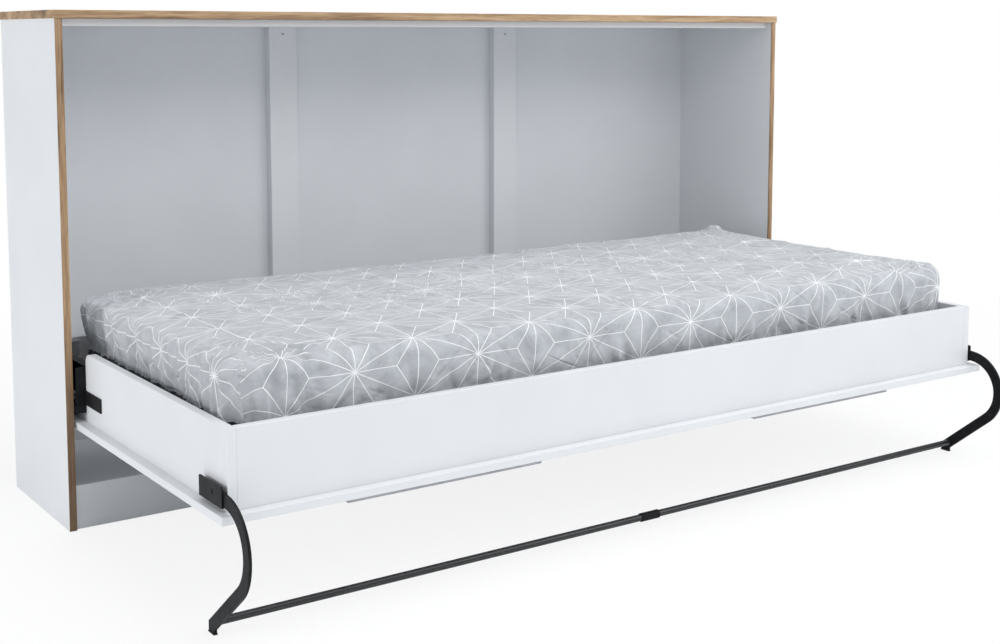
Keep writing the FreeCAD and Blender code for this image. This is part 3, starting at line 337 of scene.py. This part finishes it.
WHITE = (0.770, 0.784, 0.804)
BLACK_COAT = [(0.011, 0.011, 0.012), (0.019, 0.019, 0.021)]
TUBE_COAT = [(0.010, 0.010, 0.011), (0.018, 0.018, 0.020)]
# Black coat lightened to dark grey for the mounting plates: painted sheen of the plates seen at a grazing
# angle.
PLATE_PAINTED_SHEEN_GREY = [(0.050, 0.052, 0.056), (0.075, 0.078, 0.084)]
ZINC = [(0.50, 0.51, 0.53), (0.66, 0.67, 0.69)]
# Satin steel darkened below its own tone for all its parts: painted shade of the handles, which sit in the
# shadow under the slab.
SATIN_PAINTED_SHADE = [(0.36, 0.36, 0.39), (0.46, 0.46, 0.49)]
materials = {
    "white_board": board_material("white_board_look", WHITE, 0.42),
    "back_board": board_material("back_board_look", (0.752, 0.768, 0.792), 0.55),
    "slat_wood": beech_material(),
    "black_steel": steel_material("black_coat", BLACK_COAT, 0.42, 0.0, 900.0, 0.09),
    "zinc_steel": steel_material("zinc", ZINC, 0.34, 1.0, 500.0),
    "satin_steel": steel_material("satin_steel_painted_shade", SATIN_PAINTED_SHADE, 0.45, 0.6, 700.0),
    "nylon": plastic_material("nylon_look", (0.78, 0.78, 0.76), 0.45),
    "pad_plastic": plastic_material("pad_plastic_look", (0.03, 0.03, 0.03), 0.6),
    "ticking": ticking_material(),
    "sheet": sheet_material(),
}
tube_look = steel_material("tube_look", TUBE_COAT, 0.24, 0.0, 900.0, 0.65)
# Painted sheen: the mounting plates get a lighter grey copy of the black coat.
plate_painted_sheen = steel_material("plate_painted_sheen", PLATE_PAINTED_SHEEN_GREY, 0.45, 0.0, 900.0, 0.20)
oak_along_x = oak_material("oak_along_x", 0)
oak_along_z = oak_material("oak_along_z", 2, dark_foot=(0.36, 0.56))

slots = {entry["node"]: entry["material_slot"] for entry in frame["record"]["subparts"]}
for node, piece in frame["nodes"].items():
    if slots[node] == "oak":
        look = oak_along_x if node == "top_panel" else oak_along_z
    elif node in ("leg_tube_left", "leg_tube_right"):
        look = tube_look
    elif node in ("mounting_plate_left", "mounting_plate_right"):
        look = plate_painted_sheen
    else:
        look = materials[slots[node]]
    for material_slot in piece.material_slots:
        material_slot.material = look

# ---------------------------------------------------------------- mattress

# The mattress before it swells: rounded lower and upper edges, then a low crown.
START_INSET = 0.006
CORNER_ROUND = 0.080
FOOT_ROUND = 0.018
EDGE_ROUND = 0.010
CROWN = 0.005
CROWN_REACH = 0.150
CORNER_STEPS = 10
SHRINK = 0.002


def outline(inset, radius, z):
    """One closed ring of the mattress, counter-clockwise from +X +Y."""
    points = []
    for quarter, (sx, sy) in enumerate(((1, 1), (-1, 1), (-1, -1), (1, -1))):
        middle = (CENTRE[0] + sx * (HALF[0] - inset - radius), CENTRE[1] + sy * (HALF[1] - inset - radius))
        for step in range(CORNER_STEPS + 1):
            angle = math.pi / 2 * (quarter + step / CORNER_STEPS)
            points.append((middle[0] + radius * math.cos(angle), middle[1] + radius * math.sin(angle), z))
    return points


def mattress_rings():
    """Height, inset and corner radius of the outline, from foot to crown."""
    height = HIGH[2] - LOW[2] - SHRINK * 2
    shoulder = height - CROWN - EDGE_ROUND
    rings = []
    for turn in np.radians((0, 30, 60, 90)):
        rings.append((FOOT_ROUND * (1 - math.cos(turn)), FOOT_ROUND * (1 - math.sin(turn)), CORNER_ROUND))
    for turn in np.radians((0, 30, 60, 90)):
        rise = shoulder + EDGE_ROUND * math.sin(turn)
        rings.append((rise, EDGE_ROUND * (1 - math.cos(turn)), CORNER_ROUND))
    for share in (0.25, 0.5, 0.75, 1):
        drawn_in = CROWN_REACH * share
        rings.append((height - CROWN * (1 - share) ** 2, EDGE_ROUND + drawn_in, CORNER_ROUND + drawn_in / 4))
    return rings


def mattress_start():
    mesh = bmesh.new()
    rings = [
        [mesh.verts.new(point) for point in outline(inset + START_INSET, radius, LOW[2] + SHRINK + rise)]
        for rise, inset, radius in mattress_rings()
    ]
    count = len(rings[0])
    for lower, upper in zip(rings, rings[1:]):
        for index in range(count):
            following = (index + 1) % count
            mesh.faces.new((lower[index], lower[following], upper[following], upper[index]))
    mesh.faces.new(list(reversed(rings[0])))
    mesh.faces.new(rings[-1])
    data = bpy.data.meshes.new("mattress_form")
    mesh.to_mesh(data)
    mesh.free()
    piece = bpy.data.objects.new("mattress_form", data)
    bpy.context.collection.objects.link(piece)
    return piece


def apply_modifiers(piece):
    graph = bpy.context.evaluated_depsgraph_get()
    finished = bpy.data.meshes.new_from_object(piece.evaluated_get(graph))
    piece.modifiers.clear()
    piece.data = finished


def positions(data):
    flat = np.empty(len(data.vertices) * 3)
    data.vertices.foreach_get("co", flat)
    return flat.reshape(-1, 3)


def set_positions(data, places):
    data.vertices.foreach_set("co", np.asarray(places, float).ravel())
    data.update()


def swell(piece):
    """Cloth under pressure rounds the form; no point moves past the limit."""
    start = positions(piece.data).copy()
    cloth = piece.modifiers.new("pressure", "CLOTH")
    cloth.settings.use_pressure = True
    cloth.settings.uniform_pressure_force = 4.0
    cloth.settings.effector_weights.gravity = 0.0
    cloth.settings.quality = 4
    scene = bpy.context.scene
    for number in range(1, SIMULATION_FRAMES + 1):
        scene.frame_set(number)
    apply_modifiers(piece)
    scene.frame_set(1)
    moved = positions(piece.data) - start
    length = np.linalg.norm(moved, axis=1, keepdims=True)
    moved *= np.minimum(1.0, SWELL_LIMIT / np.maximum(length, 1e-9))
    set_positions(piece.data, start + moved)


def normals(data):
    flat = np.empty(len(data.vertices) * 3)
    data.vertices.foreach_get("normal", flat)
    return flat.reshape(-1, 3)


def smooth(data):
    data.polygons.foreach_set("use_smooth", np.ones(len(data.polygons), bool))


form = mattress_start()
remesh = form.modifiers.new("even", "REMESH")
remesh.mode = "VOXEL"
remesh.voxel_size = MATTRESS_VOXEL
apply_modifiers(form)
swell(form)
subdivide = form.modifiers.new("finer", "SUBSURF")
subdivide.levels = 1
subdivide.render_levels = 1
apply_modifiers(form)

mattress = form
mattress.name = "mattress_body"
sheet_mesh = form.data.copy()
core = positions(mattress.data)
set_positions(mattress.data, core - normals(mattress.data) * CORE_DEPTH)
smooth(mattress.data)
mattress.data.materials.clear()
mattress.data.materials.append(materials["ticking"])

# ---------------------------------------------------------------- fitted sheet


def fold_lines(places, count, box, angle_range, lengths, widths, heights):
    """Sum of long soft ridges laid at random over a rectangle of the top."""
    rise = np.zeros(len(places))
    for _ in range(count):
        middle = rng.uniform((box[0], box[2]), (box[1], box[3]))
        angle = rng.uniform(*angle_range)
        length = rng.uniform(*lengths)
        width = rng.uniform(*widths)
        height = rng.uniform(*heights)
        bend = rng.uniform(-0.35, 0.35)
        offset = places[:, :2] - middle
        run = offset @ np.array((math.cos(angle), math.sin(angle)))
        across = offset @ np.array((-math.sin(angle), math.cos(angle)))
        across = across - bend * run ** 2 / length
        rise += height * np.exp(-(across / width) ** 2 - (run / length) ** 2)
    return rise


def rim_gathers(places, run, count, span, depths=(-0.0065, 0.0035), reach=0.035):
    """Short uneven creases at random along a side, strongest where the cloth dives behind the rim."""
    rise = np.zeros(len(places))
    near_rim = np.exp(-((places[:, 2] - RIM) / reach) ** 2)
    for _ in range(count):
        middle = rng.uniform(*span)
        width = rng.uniform(0.004, 0.011)
        slant = rng.uniform(-0.5, 0.5)
        depth = rng.uniform(*depths)
        across = run - middle - slant * (places[:, 2] - RIM)
        rise += depth * np.exp(-(across / width) ** 2)
    return rise * near_rim


LEFT_REACH = 0.22           # the left end's gathers reach this far in
GATHER_STEP = 0.047         # from one of them to the next
CORNER_CENTRE = 0.10        # inset of the point that each corner's gathers radiate from
PUCKER = (0.055, 0.021, 0.028)      # back right corner: inset, height, radius
FRONT_RISE = (0.06, 0.005, 0.06)    # front right corner: inset, height, radius
# Short creases on the top near the front edge: x, y and turn.
CREASES = ((0.72, -0.452, 0.5), (0.83, -0.470, -0.6), (0.93, -0.440, 0.9), (-0.82, -0.455, 0.7))
CREASE_DEPTH = 0.006
CREASE_WIDTH = 0.007
CREASE_LENGTH = 0.05
CORNER_RAYS = 15            # gathers in a full turn about a corner's point
RAY_PLACE = 0.09            # they are strongest this far from it
RAY_FADE = 0.085
DRAPE_STEP = 0.173          # slow and fine waves along the sides
RIPPLE_STEP = 0.061
TUCK_ALL = 0.001            # the sides are drawn in by this much all over
TUCK_DROP = 0.025           # they start to lean in this far below the top
TUCK = 0.0065               # and have leaned in by this much more at the rim
LEFT_TUCK = 0.0045          # more of it at the rear of the left end, less at its front
CLOTH_CLEARANCE = 0.001
PROUD = 0.004               # how far more the cloth may stand out above the rim


def bump_at(places, corner, height, radius):
    """A round rise of the cloth about one point of the top."""
    reach = np.linalg.norm(places[:, :2] - corner, axis=1)
    return height * np.exp(-(reach / radius) ** 2)


def wrinkled(places, directions):
    """The sheet's folds: wrinkles on top, gathers at corners, left end and rim, a pucker at the back."""
    result = places + directions * SHEET_OFFSET
    up = np.clip(directions[:, 2], 0, 1)
    side = np.clip(1 - np.abs(directions[:, 2]), 0, 1)
    edge_x = HALF[0] - np.abs(places[:, 0] - CENTRE[0])
    edge_y = HALF[1] - np.abs(places[:, 1] - CENTRE[1])
    on_left = np.clip(1 - (places[:, 0] - LOW[0]) / LEFT_REACH, 0, 1)

    area = (LOW[0], HIGH[0], LOW[1], HIGH[1])
    rise = fold_lines(places, 80, area, angle_range=(-0.25, 0.32), lengths=(0.08, 0.34),
                      widths=(0.005, 0.013), heights=(-0.0030, 0.0042))
    rise += fold_lines(places, 44, area, angle_range=(0.35, 1.3), lengths=(0.04, 0.14),
                       widths=(0.005, 0.010), heights=(-0.0028, 0.0038))
    slow = np.sin(places[:, 0] * 5.1 + 1.3) * np.cos(places[:, 1] * 6.7 + 0.4)
    rise += 0.0022 * slow
    gathers = np.sin(places[:, 1] * 2 * math.pi / GATHER_STEP + 2.2 * np.sin(places[:, 0] * 23))
    rise += 0.0030 * gathers * on_left ** 2 * np.exp(-(edge_x / 0.11) ** 2)
    rise -= 0.004 * np.exp(-np.minimum(edge_x, edge_y) / 0.05)

    pull = np.zeros(len(places))
    for sx in (-1, 1):
        for sy in (-1, 1):
            corner = CENTRE[:2] + (HALF[:2] - CORNER_CENTRE) * (sx, sy)
            offset = places[:, :2] - corner
            angle = np.arctan2(offset[:, 1] * sy, offset[:, 0] * sx)
            reach = np.linalg.norm(offset, axis=1)
            near = np.exp(-((reach - RAY_PLACE) / RAY_FADE) ** 2)
            ray = np.sin(angle * CORNER_RAYS + 1.7 * sx + 5 * np.sin(reach * 14))
            rise += 0.0028 * ray * near * up
            pull += 0.0030 * ray * near * side
    rise += bump_at(places, (HIGH[0] - PUCKER[0], HIGH[1] - PUCKER[0]), *PUCKER[1:]) * up
    rise += bump_at(places, (HIGH[0] - FRONT_RISE[0], LOW[1] + FRONT_RISE[0]), *FRONT_RISE[1:]) * up
    for x, y, turn in CREASES:
        offset = places[:, :2] - (x, y)
        run = offset @ np.array((math.cos(turn), math.sin(turn)))
        across = offset @ np.array((-math.sin(turn), math.cos(turn)))
        rise -= CREASE_DEPTH * np.exp(-(across / CREASE_WIDTH) ** 2 - (run / CREASE_LENGTH) ** 2)
    result[:, 2] += np.maximum(rise, -DEEPEST_FOLD) * up

    along_side = places[:, 0] + places[:, 1]
    drape = np.sin(along_side * 2 * math.pi / DRAPE_STEP + 3.0 * np.sin(places[:, 2] * 19))
    fine = np.sin(along_side * 2 * math.pi / RIPPLE_STEP + places[:, 2] * 40
                  + 2.0 * np.sin(along_side * 9))
    pull += (0.0020 * drape + 0.0012 * fine) * side
    pull += 0.0024 * gathers * on_left * side
    facing_x = np.abs(directions[:, 0]) > np.abs(directions[:, 1])
    pull += np.where(facing_x, rim_gathers(places, places[:, 1], 70, (LOW[1], HIGH[1])),
                     rim_gathers(places, places[:, 0], 150, (LOW[0], HIGH[0]))) * side
    tuck_start = HIGH[2] - TUCK_DROP
    lean = np.clip((tuck_start - places[:, 2]) / (tuck_start - RIM), 0, 1.1)
    to_rear = np.clip((places[:, 1] - LOW[1] - 0.12) / 0.25, 0, 1)
    ragged = rim_gathers(places, places[:, 1], 60, (LOW[1] + 0.25, HIGH[1]),
                         depths=(-0.013, 0.003), reach=0.022)
    pull += ragged * on_left ** 2 * facing_x * side
    tucked = TUCK_ALL + (TUCK + LEFT_TUCK * on_left ** 2 * (2 * to_rear - 1)) * lean ** 1.5
    pull = np.maximum(pull - tucked * side, -DEEPEST_FOLD)
    result[:, :2] += directions[:, :2] * pull[:, None]

    # Below the rim the cloth keeps clear of the boards; above it, it may stand a little proud.
    proud = np.clip((places[:, 2] - RIM - 0.005) / 0.03, 0, 1) * PROUD
    limit_x = HALF[0] + CLOTH_CLEARANCE + proud
    limit_y = HALF[1] + CLOTH_CLEARANCE + proud
    result[:, 0] = CENTRE[0] + np.clip(result[:, 0] - CENTRE[0], -limit_x, limit_x)
    result[:, 1] = CENTRE[1] + np.clip(result[:, 1] - CENTRE[1], -limit_y, limit_y)
    result[:, 2] = np.maximum(result[:, 2], LOW[2] + 0.0002)
    return result


def lay_out_cut(data, places):
    """The flat cut's coordinates in metres, so the pattern runs over the edges as printed cloth does."""
    layer = data.uv_layers.new(name="cut")
    drop = HIGH[2] - places[:, 2]
    flat = np.empty((len(data.loops), 2))
    for face in data.polygons:
        ids = list(face.vertices)
        x, y, fall = places[ids, 0], places[ids, 1], drop[ids]
        nx, ny = face.normal[:2]
        if abs(ny) >= abs(nx):
            y = y + math.copysign(1, ny) * fall
        else:
            x = x + math.copysign(1, nx) * fall
        flat[list(face.loop_indices), 0] = x + 0.041
        flat[list(face.loop_indices), 1] = y + 0.057
    layer.data.foreach_set("uv", flat.ravel())


sheet = bpy.data.objects.new("fitted_sheet_cloth", sheet_mesh)
bpy.context.collection.objects.link(sheet)
sheet_places = positions(sheet_mesh)
lay_out_cut(sheet_mesh, sheet_places)
set_positions(sheet_mesh, wrinkled(sheet_places, normals(sheet_mesh)))
cutter = bmesh.new()
cutter.from_mesh(sheet_mesh)
inside = [
    face for face in cutter.faces
    if face.normal.z < -0.8
    and abs(face.calc_center_median().x - CENTRE[0]) < HALF[0] - TURN_UNDER
    and abs(face.calc_center_median().y - CENTRE[1]) < HALF[1] - TURN_UNDER
]
bmesh.ops.delete(cutter, geom=inside, context="FACES")
cutter.to_mesh(sheet_mesh)
cutter.free()
smooth(sheet_mesh)
sheet_mesh.materials.clear()
sheet_mesh.materials.append(materials["sheet"])

for piece, node, look in ((mattress, "mattress", "ticking"), (sheet, "fitted_sheet", "sheet")):
    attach(piece, "bed")
    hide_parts(node)

# ---------------------------------------------------------------- stage, light and camera


FLOOR_FADE = (1.3, 3.2)     # the floor turns from lit paper to plain white over these distances
FLOOR_LIFT = 0.84           # share of plain white near the object; the rest is lit paper with its shadow


def floor_material():
    """White paper that keeps the object's shadow near it and is plain white further out."""
    material, tree, shader = new_material("pale_floor")
    place = object_coordinates(tree, (1, 1, 1))
    tone = noise(tree, place, 0.7, 2.0)
    tree.links.new(ramp(tree, tone, [(0.3, (0.93, 0.935, 0.94)), (0.7, (0.95, 0.955, 0.96))]),
                   shader.inputs["Base Color"])
    shader.inputs["Roughness"].default_value = 0.9
    shader.inputs["Specular IOR Level"].default_value = 0.1
    distance = tree.nodes.new("ShaderNodeVectorMath")
    distance.operation = "LENGTH"
    tree.links.new(place, distance.inputs[0])
    glow = tree.nodes.new("ShaderNodeEmission")
    seen = tree.nodes.new("ShaderNodeLightPath").outputs["Is Camera Ray"]
    far = remap(tree, distance.outputs["Value"], FLOOR_FADE[0], FLOOR_FADE[1], FLOOR_LIFT, 1.0)
    mix = tree.nodes.new("ShaderNodeMixShader")
    tree.links.new(maths(tree, "MULTIPLY", far, seen), mix.inputs["Fac"])
    tree.links.new(shader.outputs[0], mix.inputs[1])
    tree.links.new(glow.outputs[0], mix.inputs[2])
    output = next(node for node in tree.nodes if node.type == "OUTPUT_MATERIAL")
    tree.links.new(mix.outputs[0], output.inputs["Surface"])
    return material


floor_data = bpy.data.meshes.new("floor")
floor_data.from_pydata([(-40, -40, 0), (40, -40, 0), (40, 40, 0), (-40, 40, 0)], [], [(0, 1, 2, 3)])
floor = bpy.data.objects.new("floor", floor_data)
floor.location.z = -0.0008
floor_data.materials.append(floor_material())
bpy.context.collection.objects.link(floor)

world = bpy.data.worlds.new("studio")
bpy.context.scene.world = world
world.use_nodes = True
sky = world.node_tree
sky.nodes.clear()
output = sky.nodes.new("ShaderNodeOutputWorld")
blend = sky.nodes.new("ShaderNodeMixShader")
path = sky.nodes.new("ShaderNodeLightPath")
soft_light = sky.nodes.new("ShaderNodeBackground")
soft_light.inputs["Color"].default_value = (0.93, 0.96, 1.0, 1)
soft_light.inputs["Strength"].default_value = 0.50
seen = sky.nodes.new("ShaderNodeBackground")
seen.inputs["Color"].default_value = (1, 1, 1, 1)
seen.inputs["Strength"].default_value = 1.0
sky.links.new(path.outputs["Is Camera Ray"], blend.inputs["Fac"])
sky.links.new(soft_light.outputs[0], blend.inputs[1])
sky.links.new(seen.outputs[0], blend.inputs[2])
sky.links.new(blend.outputs[0], output.inputs["Surface"])


def add_area_light(name, place, target, width, watts, colour):
    data = bpy.data.lights.new(name, "AREA")
    data.shape = "SQUARE"
    data.size = width
    data.energy = watts
    data.color = colour
    lamp = bpy.data.objects.new(name, data)
    bpy.context.collection.objects.link(lamp)
    lamp.location = place
    aim = Vector(target) - Vector(place)
    lamp.rotation_euler = aim.to_track_quat("-Z", "Y").to_euler()


add_area_light("key", (-0.7, -5.0, 4.4), (0, 0, 0.4), 2.8, 82, (1.0, 0.995, 0.985))
add_area_light("fill", (3.4, -3.5, 3.3), (0, 0, 0.5), 3.0, 52, (0.96, 0.98, 1.0))
add_area_light("overhead", (0.6, -0.9, 4.2), (0, 0, 0.3), 3.2, 84, (1.0, 1.0, 1.0))
add_area_light("left_side", (-6.0, 0.80, 1.2), (0, 0.00, 0.6), 1.3, 92, (1.0, 1.0, 1.0))

# The photo's camera is level with a larger shift. Other views keep the shift, so this one is smaller
# and the camera looks down a little instead.
CAMERA_DOWN = 5.806         # degrees
CAMERA_YAW = -34.700
camera_data = bpy.data.cameras.new("camera")
camera_data.lens = 52.40
camera_data.sensor_width = 36
camera_data.shift_y = -0.14
camera = bpy.data.objects.new("camera", camera_data)
camera.location = (-2.0521, -2.8524, 1.0847)
camera.rotation_euler = (math.radians(90 - CAMERA_DOWN), 0, math.radians(CAMERA_YAW))
bpy.context.collection.objects.link(camera)
scene = bpy.context.scene
scene.camera = camera
scene.view_settings.view_transform = "Standard"
